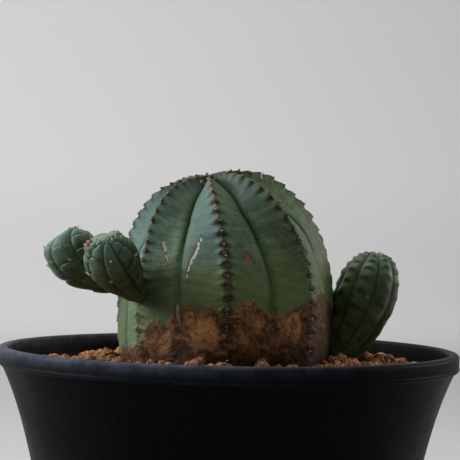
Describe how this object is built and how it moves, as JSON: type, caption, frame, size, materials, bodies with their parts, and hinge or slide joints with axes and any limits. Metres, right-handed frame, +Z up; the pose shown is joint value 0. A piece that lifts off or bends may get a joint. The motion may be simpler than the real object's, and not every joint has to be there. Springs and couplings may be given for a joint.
{
  "type": "potted euphorbia",
  "caption": "Ball-shaped ribbed succulent stem with side offsets on its ribs, standing in coarse clay soil in a flared round nursery pot with a rolled rim.",
  "frame": {"origin": "centre of the pot's foot, on the surface that the pot stands on", "axes": "+Z up along the pot's axis; -Y is the front, from which two offsets are on the left (-X) and one is on the right (+X)"},
  "size_m": [0.12, 0.12, 0.1437],
  "materials": {
    "pot_plastic": "matte",
    "soil_clay": "matte",
    "stem_skin": "satin",
    "offset_skin": "satin",
    "dry_stalk": "matte"
  },
  "bodies": {
    "root": {"pot": "pot_plastic", "soil_bed": "soil_clay", "main_stem": "stem_skin", "offset_front_left": "offset_skin", "offset_back_left": "offset_skin", "offset_right": "offset_skin", "stalk_crown": "dry_stalk", "stalk_front_left_1": "dry_stalk", "stalk_front_left_2": "dry_stalk", "stalk_front_left_3": "dry_stalk", "stalk_front_left_4": "dry_stalk", "stalk_front_left_5": "dry_stalk", "stalk_front_left_6": "dry_stalk", "stalk_back_left_1": "dry_stalk", "stalk_back_left_2": "dry_stalk", "granule_01": "soil_clay", "granule_02": "soil_clay", "granule_03": "soil_clay", "granule_04": "soil_clay", "granule_05": "soil_clay", "granule_06": "soil_clay", "granule_07": "soil_clay", "granule_08": "soil_clay", "granule_09": "soil_clay", "granule_10": "soil_clay", "granule_11": "soil_clay", "granule_12": "soil_clay", "granule_13": "soil_clay", "granule_14": "soil_clay", "granule_15": "soil_clay", "granule_16": "soil_clay", "granule_17": "soil_clay", "granule_18": "soil_clay", "granule_19": "soil_clay", "granule_20": "soil_clay"}
  },
  "joints": []
}
